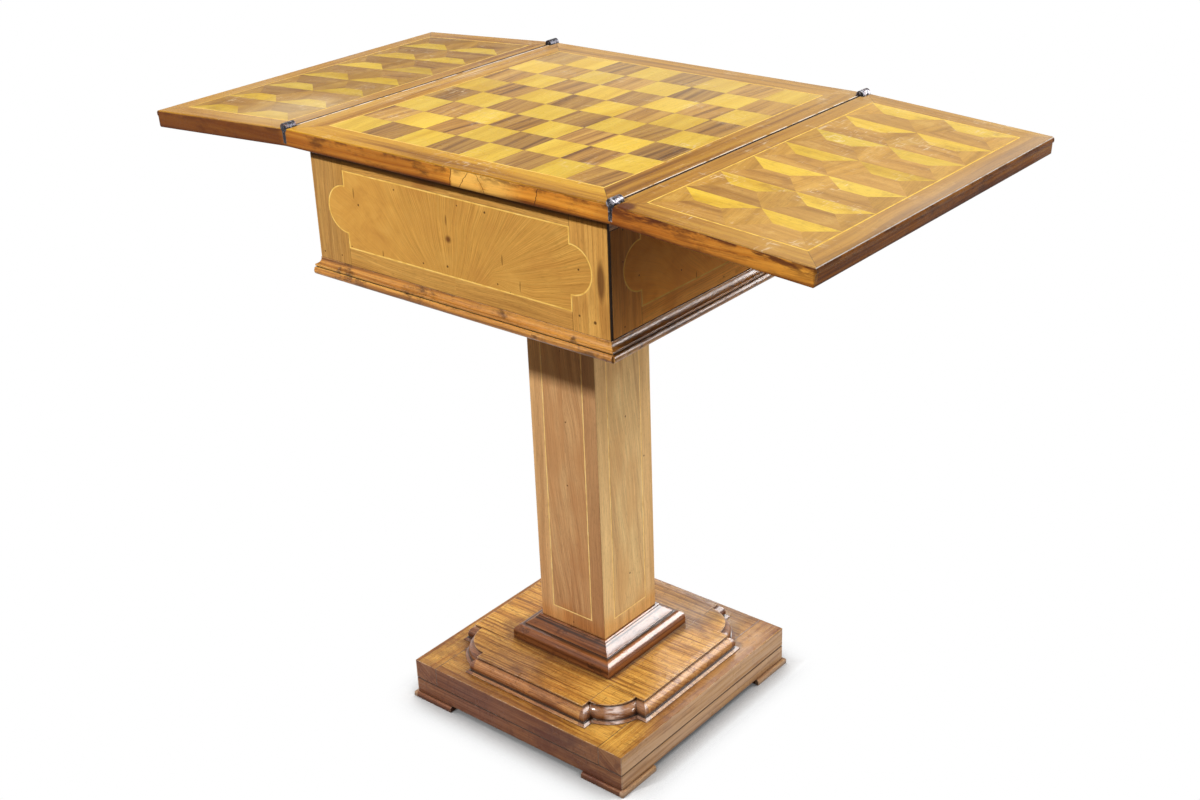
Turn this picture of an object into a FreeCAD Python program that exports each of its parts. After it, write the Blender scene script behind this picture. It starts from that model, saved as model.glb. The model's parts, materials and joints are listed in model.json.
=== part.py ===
"""A pedestal chess table with an inlaid board, two folding leaves and one drawer.

Millimetres, +Z up. The origin is on the floor under the middle of the table. X runs along the front from
the left leaf to the right leaf, -Y is the front, and the drawer opens towards +X under the right leaf.
"""
import FreeCAD, Part
import math
import os

Vector = FreeCAD.Vector

# The playing surface and the middle top
table_height = 756.0
square_side = 48.0
squares_per_side = 8
line_width = 1.5
top_border = 34.5
top_thickness = 20.0
top_veneer = 1.2
top_arris = 0.9

# The two leaves, which fold over and meet above the middle of the board
leaf_droop = 3.5
leaf_meeting_gap = 4.0
leaf_joint_border = 22.0
leaf_outer_border = 26.0
leaf_end_border = 26.0
leaf_columns = 2
leaf_rows = 7
waist_inset = 0.33
waist_place = 0.57
nosing_height = 7.0
nosing_step = 1.4
edge_chamfer = 1.5
joint_clearance = 0.25

# Butt hinges at the ends of both joints
hinge_length = 15.0
hinge_plate = 2.0
hinge_plate_foot = 3.0
knuckle_radius = 4.8
knuckle_rise = 0.8
knuckle_gap = 0.4
knuckle_room = 1.0
pin_radius = 2.0
pin_overhang = 0.5
pin_running_gap = 0.05
hinge_screw_radius = 1.5
hinge_screw_head_radius = 2.9
hinge_screw_head = 1.2
hinge_screw_length = 14.0
hinge_screw_end = 4.0

# The square box that carries the top and holds the drawer
box_overhang = 18.0
box_height = 150.0
side_veneer = 2.5
panel = 14.0
floor_board = 16.0
cartouche_end = 49.0
cartouche_edge = 3.0
cartouche_lobe = 27.5
box_round_height = 8.6
box_round_reach = 6.0
box_round_bulge = 0.3
box_quirk = 1.2
box_quirk_depth = 1.6
box_fillet = 2.0
box_cove_height = 8.2
box_cove_bulge = -0.2
box_top_edge = 0.6

# The drawer and what it runs on
drawer_front = 16.0
drawer_side = 9.0
drawer_back = 9.0
drawer_bottom = 6.0
drawer_groove = 4.0
drawer_bottom_rise = 5.0
drawer_back_drop = 6.0
drawer_rear_room = 7.0
drawer_gap = 0.8
drawer_front_gap = 1.0
drawer_side_gap = 1.0
drawer_leaf_gap = 2.5
slide_gap = 0.3
runner_width = 11.0
kicker_width = 16.0
stop_width = 30.0
stop_height = 14.0
stop_inset = 13.5

# The column
column_side = 102.0
column_board = 14.0
column_line_inset = 19.5
column_line_depth = 1.2
column_arris = 1.0
column_block = 60.0

# The stepped foot of the column
foot_torus_height = 19.0
foot_torus_reach = 27.0
foot_torus_bulge = 0.2
foot_quirk = 1.6
foot_quirk_reach = 17.5
foot_slope_reach = 3.5
foot_slope_height = 9.6
foot_slope_bulge = -0.04
foot_fillet = 2.4

# The platform under the column, with lobed corners
platform_side = 277.0
lobe_setback = 52.5
lobe_radius = 40.0
lobe_drop = 0.4
platform_lip_reach = 11.3
platform_lip_edge = 0.8
platform_lip_lean = 3.0
platform_lip_height = 3.2
platform_groove = 1.0
platform_round_reach = 6.5
platform_round_height = 14.3
platform_round_bulge = 0.22
platform_quirk = 1.2
platform_quirk_depth = 1.2
platform_fillet = 2.0

# The square plinth and its feet
plinth_step = 29.0
plinth_upper = 26.5
plinth_lower = 20.0
plinth_line = 0.8
plinth_cleat = 35.0
foot_height = 7.5
foot_side = 64.0
foot_reach = 4.0
foot_nose = 3.0

# Wood screws
screw_radius = 2.5
screw_head_radius = 4.5
screw_head = 2.5
screw_hole_gap = 0.15
head_screw_place = 22.0
head_screw_bite = 32.0
foot_screw_bite = 38.0
foot_screw_sink = 6.0
top_screw_sink = 4.0
top_screw_bite = 12.0
top_screw_spacing = 145.0
top_screws_per_side = 3

# Places worked out from the sizes above
field_half = square_side * squares_per_side / 2
top_half = field_half + line_width + top_border
top_surface = table_height
veneer_bed = top_surface - top_veneer
top_underside = top_surface - top_thickness
axis_height = top_surface + knuckle_rise
droop = math.radians(leaf_droop)
lever = top_thickness + knuckle_rise
joint_gap = 2 * lever * math.sin(droop) / (1 + math.cos(droop)) + joint_clearance
axis_place = top_half + joint_gap / 2
leaf_width = top_half - leaf_meeting_gap / 2
leaf_start = top_half + joint_gap
leaf_end = leaf_start + leaf_width
leaf_drop = (leaf_end - axis_place) * math.sin(droop) - lever * (1 - math.cos(droop))

hinge_plate_bottom = top_underside + hinge_plate_foot

box_half = top_half - box_overhang
box_base = top_underside - box_height
core_half = box_half - side_veneer
inner_half = core_half - panel
floor_top = box_base + floor_board
box_moulding_height = box_round_height + box_quirk + box_fillet + box_cove_height
box_moulding_top = box_base + box_moulding_height
rail_height = leaf_drop + drawer_leaf_gap
rail_underside = top_underside - rail_height
drawer_floor = box_moulding_top + drawer_gap
drawer_top = rail_underside - drawer_gap
front_back_face = core_half - drawer_front
panel_end = front_back_face - drawer_gap
drawer_rear = -inner_half + drawer_rear_room
drawer_half = inner_half - drawer_side_gap
drawer_bottom_z = drawer_floor + drawer_bottom_rise
cartouche_half_length = box_half - cartouche_end
cartouche_middle = (box_moulding_top + top_underside) / 2
cartouche_half_height = drawer_top - cartouche_edge - cartouche_middle

column_half = column_side / 2
foot_moulding_height = foot_torus_height + foot_quirk + foot_slope_height + foot_fillet
platform_moulding_height = (platform_lip_height + platform_groove + platform_round_height
                            + platform_quirk + platform_fillet)
platform_half = platform_side / 2
lobe_centre = platform_half - lobe_setback
plinth_half = platform_half + plinth_step
plinth_joint = foot_height + plinth_lower
plinth_top = plinth_joint + plinth_upper
platform_top = plinth_top + platform_moulding_height
column_bore = column_half - column_board


def save(name, solids):
    """Writes one node, which holds one solid or a group of separate solids."""
    shape = solids[0] if len(solids) == 1 else Part.makeCompound(solids)
    shape.exportStep("parts/" + name + ".step")


def block(x, y, z):
    """A block between two corners, each axis given as a pair."""
    size = (x[1] - x[0], y[1] - y[0], z[1] - z[0])
    return Part.makeBox(size[0], size[1], size[2], Vector(x[0], y[0], z[0]))


def square_block(half, z):
    return block((-half, half), (-half, half), z)


def plate_of(corners, bottom, thickness):
    """A flat piece whose plan is a polygon."""
    points = [Vector(x, y, bottom) for x, y in corners]
    face = Part.Face(Part.makePolygon(points + points[:1]))
    return face.extrude(Vector(0, 0, thickness))


def cylinder(radius, start, end):
    return Part.makeCylinder(radius, (end - start).Length, start, end - start)


def cut_all(shape, cutters):
    for cutter in cutters:
        shape = shape.cut(cutter)
    return shape


def turned(shape, degrees):
    """A copy turned about the table's upright centre line."""
    copy = shape.copy()
    copy.rotate(Vector(0, 0, 0), Vector(0, 0, 1), degrees)
    return copy


def four_sides(shape):
    return [turned(shape, quarter * 90) for quarter in range(4)]


def softened(shape, radius, chosen):
    """Rounds the straight edges whose middle point the rule picks."""
    edges = [edge for edge in shape.Edges if chosen(edge.CenterOfMass)]
    return shape.makeFillet(radius, edges)


def outline_face(points, place):
    """A face from (out, up, bulge) points; bulge is the arc's height over its chord, on the edge before."""
    edges = []
    count = len(points)
    for index in range(count):
        out, up, bulge = points[index]
        last_out, last_up, _ = points[index - 1]
        start = place(last_out, last_up)
        end = place(out, up)
        if bulge == 0:
            edges.append(Part.makeLine(start, end))
            continue
        middle_out = (out + last_out) / 2 + (up - last_up) * bulge
        middle_up = (up + last_up) / 2 - (out - last_out) * bulge
        edges.append(Part.Arc(start, place(middle_out, middle_up), end).toShape())
    return Part.Face(Part.Wire(edges))


def front_length(half, base, points):
    """A moulding length along the front, mitred at both ends. Points count out from half and up from base."""
    def place(out, up):
        return Vector(-reach, -(half + out), base + up)

    reach = half + max(point[0] for point in points)
    height = max(point[1] for point in points)
    bar = outline_face(points, place).extrude(Vector(2 * reach, 0, 0))
    mitre = plate_of([(0, 0), (-2 * reach, -2 * reach), (2 * reach, -2 * reach)], base, height)
    return bar.common(mitre)


def chamfered_at_joint(board):
    """Takes the corner off round the plinth joint, which leaves a V line there."""
    edges = [edge for edge in board.Edges if abs(edge.CenterOfMass.z - plinth_joint) < 0.01]
    return board.makeChamfer(plinth_line, edges)


def make_plinth():
    """Two glued boards, the upper one with a cleat across each end, on four corner feet."""
    lower = chamfered_at_joint(square_block(plinth_half, (foot_height, plinth_joint)))
    holes = foot_screw_holes()
    lower = cut_all(lower, holes + foot_screw_sinks())
    save("plinth_lower_board", [lower])

    cleat_start = plinth_half - plinth_cleat
    upper = chamfered_at_joint(square_block(plinth_half, (plinth_joint, plinth_top)))
    middle = block((-cleat_start, cleat_start), (-plinth_half, plinth_half), (plinth_joint, plinth_top))
    right_end = block((cleat_start, plinth_half), (-plinth_half, plinth_half), (plinth_joint, plinth_top))
    right_cleat = upper.common(right_end)
    save("plinth_upper_board", [cut_all(upper.common(middle), holes)])
    save("plinth_cleats", [right_cleat, turned(right_cleat, 180)])

    outer = plinth_half + foot_reach
    inner = outer - foot_side
    pad = block((inner, outer), (-outer, -inner), (0, foot_height))
    pad = softened(pad, foot_nose, lambda at: at.z > foot_height - 0.01 and max(at.x, -at.y) > outer - 0.01)
    save("corner_feet", four_sides(pad))


def square_corners(place):
    return [(x, y) for x in (-place, place) for y in (-place, place)]


def foot_screw_places():
    return square_corners(column_bore / 2)


def foot_screw_seat():
    return foot_height + foot_screw_sink


def foot_screw_holes():
    tip = platform_top + foot_screw_bite
    return [cylinder(screw_radius + screw_hole_gap, Vector(x, y, 0), Vector(x, y, tip + screw_hole_gap))
            for x, y in foot_screw_places()]


def foot_screw_sinks():
    return [cylinder(screw_head_radius + screw_hole_gap, Vector(x, y, 0), Vector(x, y, foot_screw_seat()))
            for x, y in foot_screw_places()]


def make_platform():
    """A moulded board with stepped, lobed corners: a core, four returned sides and four corner lobes."""
    def profile(inner, lip_height):
        round_start = lip_height + platform_groove
        round_end = round_start + platform_round_height
        quirk_end = round_end + platform_quirk
        fillet_end = quirk_end + platform_fillet
        return [
            (inner, 0, 0),
            (platform_lip_reach, 0, 0),
            (platform_lip_reach, platform_lip_edge, 0),
            (platform_lip_reach - platform_lip_lean, lip_height, 0),
            (platform_round_reach, lip_height, 0),
            (platform_round_reach, round_start, 0),
            (-platform_quirk_depth, round_end, platform_round_bulge),
            (-platform_quirk_depth, quirk_end, 0),
            (0, quirk_end, 0),
            (0, fillet_end, 0),
            (inner, fillet_end, 0),
        ]

    def along_front(out, up):
        return Vector(-platform_half, -(platform_half + out), plinth_top + up)

    def across_end(out, up):
        return Vector(lobe_centre + out, -2 * platform_half, plinth_top + up)

    def round_lobe(out, up):
        return Vector(lobe_centre, -(lobe_centre + lobe_radius + out), plinth_top + up)

    front_section = outline_face(profile(lobe_centre - platform_half, platform_lip_height), along_front)
    bar = front_section.extrude(Vector(platform_side, 0, 0))
    end_section = outline_face(profile(-lobe_centre, platform_lip_height), across_end)
    right_limit = end_section.extrude(Vector(0, platform_side, 0))
    left_limit = right_limit.mirror(Vector(0, 0, 0), Vector(1, 0, 0))
    side = bar.common(right_limit).fuse(bar.common(left_limit)).removeSplitter()
    sides = four_sides(side)
    save("platform_side_mouldings", sides)

    axis = Vector(lobe_centre, -lobe_centre, 0)
    lobe_section = outline_face(profile(-lobe_radius, platform_lip_height - lobe_drop), round_lobe)
    lobe = lobe_section.revolve(axis, Vector(0, 0, 1), 90)
    save("platform_corner_lobes", four_sides(cut_all(lobe, sides[:2])))

    core = square_block(lobe_centre, (plinth_top, platform_top))
    save("platform_board", [cut_all(core, foot_screw_holes())])


def make_column():
    """Four mitred boards round a foot block and a head block, each face inlaid with a light line."""
    quirk_start = foot_torus_height
    slope_start = foot_torus_height + foot_quirk
    slope_end = slope_start + foot_slope_height
    points = [
        (0, 0, 0),
        (foot_torus_reach, 0, 0),
        (foot_torus_reach, foot_torus_height / 2, 0),
        (foot_quirk_reach, quirk_start, foot_torus_bulge),
        (foot_quirk_reach - foot_quirk, quirk_start, 0),
        (foot_quirk_reach - foot_quirk, slope_start, 0),
        (foot_slope_reach, slope_end, foot_slope_bulge),
        (foot_slope_reach, slope_end + foot_fillet / 2, 0),
        (foot_slope_reach - foot_fillet / 2, foot_moulding_height, 0),
        (0, foot_moulding_height, 0),
    ]
    save("column_foot_mouldings", four_sides(front_length(column_half, platform_top, points)))

    post = square_block(column_half, (platform_top, box_base))
    corners = [e for e in post.Edges if abs(e.CenterOfMass.z - (platform_top + box_base) / 2) < 0.01]
    post = post.makeFillet(column_arris, corners)
    post = post.cut(square_block(column_bore, (platform_top, box_base)))
    corner = 2 * column_half
    plan = [(0, 0), (-corner, -corner), (corner, -corner)]
    mitre = plate_of(plan, platform_top, box_base - platform_top)
    line = make_column_line()
    board = post.common(mitre).cut(line)
    front, right, back, left = four_sides(board)
    save("column_front_board", [front])
    save("column_back_board", [back])
    save("column_side_boards", [right, left])
    save("column_lines", four_sides(line))

    foot = square_block(column_bore, (platform_top, platform_top + column_block))
    save("column_foot_block", [cut_all(foot, foot_screw_holes())])
    head = square_block(column_bore, (box_base - column_block, box_base))
    save("column_head_block", [cut_all(head, head_screw_holes())])


def make_column_line():
    """A closed rectangle of light line let into the front face."""
    bottom = platform_top + foot_moulding_height + column_line_inset
    top = box_base - column_line_inset
    half = column_half - column_line_inset
    depth = (-column_half, -column_half + column_line_depth)
    outer = block((-half, half), depth, (bottom, top))
    inside = half - line_width
    return outer.cut(block((-inside, inside), depth, (bottom + line_width, top - line_width)))


def head_screw_places():
    return square_corners(head_screw_place)


def head_screw_tip():
    return box_base - head_screw_bite


def head_screw_holes():
    tip = head_screw_tip() - screw_hole_gap
    return [cylinder(screw_radius + screw_hole_gap, Vector(x, y, tip), Vector(x, y, floor_top))
            for x, y in head_screw_places()]


def make_pedestal_screws():
    """Screws up through the plinth into the foot block, and down through the floor into the head block."""
    screws = []
    seat = foot_screw_seat()
    for x, y in foot_screw_places():
        shank = cylinder(screw_radius, Vector(x, y, seat), Vector(x, y, platform_top + foot_screw_bite))
        head = cylinder(screw_head_radius, Vector(x, y, seat - screw_head), Vector(x, y, seat))
        screws.append(shank.fuse(head))
    for x, y in head_screw_places():
        shank = cylinder(screw_radius, Vector(x, y, head_screw_tip()), Vector(x, y, floor_top))
        head = cylinder(screw_head_radius, Vector(x, y, floor_top), Vector(x, y, floor_top + screw_head))
        screws.append(shank.fuse(head))
    save("pedestal_screws", screws)


def cartouche(inset, place):
    """A long panel outline with a round lobe on each end, drawn in by the inset."""
    half_length = cartouche_half_length - inset
    half_height = cartouche_half_height - inset
    radius = cartouche_lobe - inset
    shoulder = math.sqrt(radius ** 2 - inset ** 2)
    tip = cartouche_half_length + radius
    right = [(half_length, half_height), (half_length, shoulder), (tip, 0),
             (half_length, -shoulder), (half_length, -half_height)]
    left = [(-along, -up) for along, up in right]
    edges = []
    for side, other in ((right, left), (left, right)):
        points = [place(along, up) for along, up in side]
        edges.append(Part.makeLine(points[0], points[1]))
        edges.append(Part.Arc(points[1], points[2], points[3]).toShape())
        edges.append(Part.makeLine(points[3], points[4]))
        edges.append(Part.makeLine(points[4], place(*other[0])))
    return Part.Face(Part.Wire(edges))


def side_skin(along, up):
    """Border veneer, light line and field veneer on a face that looks to the front."""
    out = Vector(0, -side_veneer, 0)

    def place(x, z):
        return Vector(x, -core_half, cartouche_middle + z)

    outer = cartouche(0, place).extrude(out)
    field = cartouche(line_width, place).extrude(out)
    border = block(along, (-box_half, -core_half), up).cut(outer)
    return border, outer.cut(field), field


def make_box():
    """Three veneered panels, a floor, a rail over the drawer and a moulding round the bottom."""
    z = (box_base, top_underside)
    front = block((-core_half, panel_end), (-core_half, -inner_half), z)
    save("box_front_panel", [front])
    save("box_back_panel", [front.mirror(Vector(0, 0, 0), Vector(0, 1, 0))])
    save("box_left_panel", [block((-core_half, -inner_half), (-inner_half, inner_half), z)])

    floor = block((-inner_half, panel_end), (-inner_half, inner_half), (box_base, floor_top))
    sill = block((panel_end, core_half), (-core_half, core_half), (box_base, floor_top))
    save("box_floor", [cut_all(floor.fuse(sill).removeSplitter(), head_screw_holes())])

    rail = block((panel_end, box_half), (-core_half, core_half), (rail_underside, top_underside))
    save("drawer_top_rail", [rail])

    quirk_start = box_round_height
    fillet_start = quirk_start + box_quirk
    cove_start = fillet_start + box_fillet
    points = [
        (-side_veneer, 0, 0),
        (box_round_reach, 0, 0),
        (box_round_reach, quirk_start, box_round_bulge),
        (box_round_reach - box_quirk_depth, quirk_start, 0),
        (box_round_reach - box_quirk_depth, fillet_start, 0),
        (box_round_reach, fillet_start, 0),
        (box_round_reach, cove_start, 0),
        (box_top_edge, box_moulding_height, box_cove_bulge),
        (-side_veneer, box_moulding_height, 0),
    ]
    save("box_mouldings", four_sides(front_length(box_half, box_base, points)))

    up = (box_moulding_top, top_underside)
    front_skin = side_skin((-box_half, box_half), up)
    left_skin = side_skin((-core_half, core_half), up)
    names = ("box_border_veneers", "box_lines", "box_field_veneers")
    for name, front_piece, left_piece in zip(names, front_skin, left_skin):
        back_piece = front_piece.mirror(Vector(0, 0, 0), Vector(0, 1, 0))
        save(name, [front_piece, back_piece, turned(left_piece, -90)])


def make_drawer_guides():
    """Runners under the drawer, kickers over it and stops behind it."""
    runner = block((-inner_half, panel_end), (-inner_half, -inner_half + runner_width),
                   (floor_top, drawer_floor - slide_gap))
    save("drawer_runners", [runner, runner.mirror(Vector(0, 0, 0), Vector(0, 1, 0))])

    kicker = block((-inner_half, panel_end), (-inner_half, -inner_half + kicker_width),
                   (rail_underside, top_underside))
    kicker = cut_all(kicker, top_screw_holes())
    save("drawer_kickers", [kicker, kicker.mirror(Vector(0, 0, 0), Vector(0, 1, 0))])

    half_width = stop_width / 2
    stop_place = inner_half - stop_inset - half_width
    stops = [block((-inner_half, drawer_rear - slide_gap), (y - half_width, y + half_width),
                   (floor_top, floor_top + stop_height))
             for y in (-stop_place, stop_place)]
    save("drawer_stops", stops)


def top_screw_places():
    first = -top_screw_spacing * (top_screws_per_side - 1) / 2
    line = inner_half - kicker_width / 2
    return [(first + index * top_screw_spacing, y)
            for y in (-line, line) for index in range(top_screws_per_side)]


def top_screw_holes():
    """Holes through the kickers and into the top, with a sink for each head."""
    seat = rail_underside + top_screw_sink
    tip = top_underside + top_screw_bite + screw_hole_gap
    holes = []
    for x, y in top_screw_places():
        hole = cylinder(screw_radius + screw_hole_gap, Vector(x, y, rail_underside), Vector(x, y, tip))
        sink = cylinder(screw_head_radius + screw_hole_gap, Vector(x, y, rail_underside), Vector(x, y, seat))
        holes.append(hole.fuse(sink))
    return holes


def make_top_screws():
    seat = rail_underside + top_screw_sink
    screws = []
    for x, y in top_screw_places():
        shank = cylinder(screw_radius, Vector(x, y, seat), Vector(x, y, top_underside + top_screw_bite))
        head = cylinder(screw_head_radius, Vector(x, y, seat - screw_head), Vector(x, y, seat))
        screws.append(shank.fuse(head))
    save("top_screws", screws)


def make_drawer():
    """An open box on runners behind a veneered front that fills the right side."""
    front_half = core_half - drawer_front_gap
    z = (drawer_floor, drawer_top)
    bottom = block((drawer_rear, front_back_face + drawer_groove),
                   (-drawer_half + drawer_side - drawer_groove, drawer_half - drawer_side + drawer_groove),
                   (drawer_bottom_z, drawer_bottom_z + drawer_bottom))
    save("drawer_bottom", [bottom])
    front = block((front_back_face, core_half), (-front_half, front_half), z)
    save("drawer_front", [front.cut(bottom)])
    side = block((drawer_rear, front_back_face), (-drawer_half, -drawer_half + drawer_side), z)
    side = side.cut(bottom)
    save("drawer_sides", [side, side.mirror(Vector(0, 0, 0), Vector(0, 1, 0))])
    inside = drawer_half - drawer_side
    back = block((drawer_rear, drawer_rear + drawer_back), (-inside, inside),
                 (drawer_bottom_z + drawer_bottom, drawer_top - drawer_back_drop))
    save("drawer_back", [back])

    names = ("drawer_border_veneer", "drawer_line", "drawer_field_veneer")
    for name, piece in zip(names, side_skin((-front_half, front_half), z)):
        save(name, [turned(piece, 90)])


def hinge_starts():
    """Where each hinge of a joint begins along Y."""
    return (-top_half, top_half - hinge_length)


def along_axis(radius, start, end):
    return cylinder(radius, Vector(axis_place, start, axis_height), Vector(axis_place, end, axis_height))


def knuckle_spans(start):
    """The three knuckles of a hinge, from front to back."""
    length = (hinge_length - 2 * knuckle_gap) / 3
    step = length + knuckle_gap
    return [(start + index * step, start + index * step + length) for index in range(3)]


def plate_span(start):
    return (start, start + hinge_length)


def plate_beds(face, depth):
    """Recesses for the hinge plates and knuckles in the board edge at this place, plates this deep along X."""
    x = sorted((face, face + depth))
    z = (hinge_plate_bottom, top_surface)
    recesses = [block(x, plate_span(start), z) for start in hinge_starts()]
    for start, end in map(plate_span, hinge_starts()):
        recesses.append(along_axis(knuckle_radius + knuckle_gap, start - knuckle_room, end + knuckle_room))
    return recesses


def hinge_screw_lines():
    """The height and Y place of every screw in one board edge."""
    height = hinge_plate_bottom + (top_surface - hinge_plate_bottom) / 3
    return [(start + end, height) for start in hinge_starts()
            for end in (hinge_screw_end, hinge_length - hinge_screw_end)]


def hinge_screw_set(face, inwards, gap):
    """Shanks with flush heads, driven from the joint face; a gap above 0 gives the holes for them."""
    screws = []
    for y, z in hinge_screw_lines():
        start = Vector(face, y, z)
        tip = Vector(face + inwards * (hinge_screw_length + gap), y, z)
        under_head = Vector(face + inwards * hinge_screw_head, y, z)
        shank = cylinder(hinge_screw_radius + gap, start, tip)
        head = cylinder(hinge_screw_head_radius + gap, start, under_head)
        screws.append(shank.fuse(head))
    return screws


def hinge_plates(face, inwards, own_knuckles):
    """One hinge plate for each end of the joint, with its knuckles rolled round the pin."""
    plates = []
    x = sorted((face, face + inwards * hinge_plate))
    for start in hinge_starts():
        spans = knuckle_spans(start)
        plate = block(x, plate_span(start), (hinge_plate_bottom, axis_height))
        for index, (near, far) in enumerate(spans):
            if index not in own_knuckles:
                room = along_axis(knuckle_radius + knuckle_gap, near - knuckle_gap, far + knuckle_gap)
                plate = plate.cut(room)
        for index in own_knuckles:
            near, far = spans[index]
            plate = plate.fuse(along_axis(knuckle_radius, near, far))
        bore = along_axis(pin_radius + pin_running_gap, start, start + hinge_length)
        plate = plate.removeSplitter().cut(bore)
        plates.append(cut_all(plate, hinge_screw_set(face, inwards, screw_hole_gap)))
    return plates


def frame_strips(outer, inner):
    """Four mitred strips between two rectangles, each given as (x0, x1, y0, y1), in the veneer layer."""
    def corners(rectangle):
        x0, x1, y0, y1 = rectangle
        return [(x0, y0), (x1, y0), (x1, y1), (x0, y1)]

    out = corners(outer)
    within = corners(inner)
    return [plate_of([out[i], out[(i + 1) % 4], within[(i + 1) % 4], within[i]], veneer_bed, top_veneer)
            for i in range(4)]


def line_frame(outer, inner):
    """A light line between two rectangles in the veneer layer."""
    z = (veneer_bed, top_surface)
    return block(outer[:2], outer[2:], z).cut(block(inner[:2], inner[2:], z))


def make_middle_top():
    """The fixed board: a core, a mitred border, a light line and 64 squares."""
    whole = (-top_half, top_half, -top_half, top_half)
    line_half = field_half + line_width
    line_outer = (-line_half, line_half, -line_half, line_half)
    field = (-field_half, field_half, -field_half, field_half)

    core = square_block(top_half, (top_underside, veneer_bed))
    beds = plate_beds(top_half, -hinge_plate) + hinge_screw_set(top_half, -1, screw_hole_gap)
    both_joints = beds + [turned(bed, 180) for bed in beds]
    core = softened(core, top_arris, lambda at: at.z < top_underside + 0.01 and abs(at.y) > top_half - 0.01)
    core = cut_all(core, both_joints + top_screw_holes())
    save("middle_core", [core])

    strips = []
    for strip in frame_strips(whole, line_outer):
        if abs(strip.CenterOfMass.y) > abs(strip.CenterOfMass.x):
            strip = softened(strip, top_arris,
                             lambda at: at.z > top_surface - 0.01 and abs(at.y) > top_half - 0.01)
        strips.append(cut_all(strip, both_joints))
    save("middle_border", strips)
    save("field_line", [line_frame(line_outer, field)])

    squares = {0: [], 1: []}
    for column in range(squares_per_side):
        for row in range(squares_per_side):
            x = column * square_side - field_half
            y = row * square_side - field_half
            tile = block((x, x + square_side), (y, y + square_side), (veneer_bed, top_surface))
            squares[(column + row) % 2].append(tile)
    save("light_squares", squares[0])
    save("dark_squares", squares[1])

    plates = hinge_plates(top_half, -1, (0, 2))
    save("middle_hinge_plates", plates + [turned(plate, 180) for plate in plates])
    screws = hinge_screw_set(top_half, -1, 0)
    save("middle_hinge_screws", screws + [turned(screw, 180) for screw in screws])
    pins = [along_axis(pin_radius, start - pin_overhang, start + hinge_length + pin_overhang)
            for start in hinge_starts()]
    save("hinge_pins", pins + [turned(pin, 180) for pin in pins])


def leaf_section():
    """The flat leaf as one bar with its nosed outer edge."""
    step = top_surface - nosing_height
    points = [
        (leaf_start, top_underside, 0),
        (leaf_end - nosing_step - edge_chamfer, top_underside, 0),
        (leaf_end - nosing_step, top_underside + edge_chamfer, 0),
        (leaf_end - nosing_step, step, 0),
        (leaf_end, step + nosing_step, 0),
        (leaf_end, top_surface - nosing_height / 2, 0),
        (leaf_end - nosing_height / 2, top_surface, (math.sqrt(2) - 1) / 2),
        (leaf_start, top_surface, 0),
    ]
    face = outline_face(points, lambda out, up: Vector(out, -top_half, up))
    return face.extrude(Vector(0, 2 * top_half, 0))


def leaf_pieces():
    """Every piece of the right leaf, lying flat."""
    whole = (leaf_start, leaf_end, -top_half, top_half)
    line_outer = (leaf_start + leaf_joint_border, leaf_end - leaf_outer_border,
                  -top_half + leaf_end_border, top_half - leaf_end_border)
    field = (line_outer[0] + line_width, line_outer[1] - line_width,
             line_outer[2] + line_width, line_outer[3] - line_width)
    section = leaf_section()
    beds = plate_beds(leaf_start, hinge_plate) + hinge_screw_set(leaf_start, 1, screw_hole_gap)

    core = section.common(block(whole[:2], whole[2:], (top_underside, veneer_bed)))
    core = softened(core, top_arris, lambda at: at.z < top_underside + 0.01 and abs(at.y) > top_half - 0.01)
    strips = []
    for strip in frame_strips(whole, line_outer):
        if abs(strip.CenterOfMass.y) > top_half / 2:
            strip = softened(strip, top_arris,
                             lambda at: at.z > top_surface - 0.01 and abs(at.y) > top_half - 0.01)
        strips.append(cut_all(strip.common(section), beds))

    light, dark, middle = leaf_marquetry(field)
    return {
        "core": [cut_all(core, beds)],
        "border": strips,
        "line": [line_frame(line_outer, field)],
        "light_pieces": light,
        "dark_pieces": dark,
        "brown_pieces": middle,
        "hinge_plates": hinge_plates(leaf_start, 1, (1,)),
        "hinge_screws": hinge_screw_set(leaf_start, 1, 0),
    }


def leaf_marquetry(field):
    """Light and dark trapeziums that share a waist, with brown lozenges between them."""
    cell_width = (field[1] - field[0]) / leaf_columns
    cell_length = (field[3] - field[2]) / leaf_rows

    def tile(corners):
        plan = [(field[0] + across * cell_width, field[2] + along * cell_length) for across, along in corners]
        return plate_of(plan, veneer_bed, top_veneer)

    light = []
    dark = []
    brown = []
    for row in range(leaf_rows):
        waist = row + waist_place
        for column in range(leaf_columns):
            near = (column + waist_inset, waist)
            far = (column + 1 - waist_inset, waist)
            dark.append(tile([(column, row), (column + 1, row), far, near]))
            light.append(tile([near, far, (column + 1, row + 1), (column, row + 1)]))
        for column in range(leaf_columns + 1):
            left = [(column - waist_inset, waist)] if column > 0 else []
            right = [(column + waist_inset, waist)] if column < leaf_columns else []
            brown.append(tile([(column, row)] + right + [(column, row + 1)] + left))
    return light, dark, brown


def make_leaves():
    """The right leaf hangs a little below level, and the left leaf is the same leaf turned half round."""
    for name, solids in leaf_pieces().items():
        for solid in solids:
            solid.rotate(Vector(axis_place, 0, axis_height), Vector(0, 1, 0), leaf_droop)
        save("right_leaf_" + name, solids)
        save("left_leaf_" + name, [turned(solid, 180) for solid in solids])


os.makedirs("parts", exist_ok=True)
make_plinth()
make_platform()
make_column()
make_pedestal_screws()
make_box()
make_drawer_guides()
make_top_screws()
make_drawer()
make_middle_top()
make_leaves()
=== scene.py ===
"""Looks for a walnut and boxwood chess table on a pedestal, laid over its CAD model. Metres, +Z up."""
import json
import math
import bpy
from mathutils import Matrix, Vector


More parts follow.
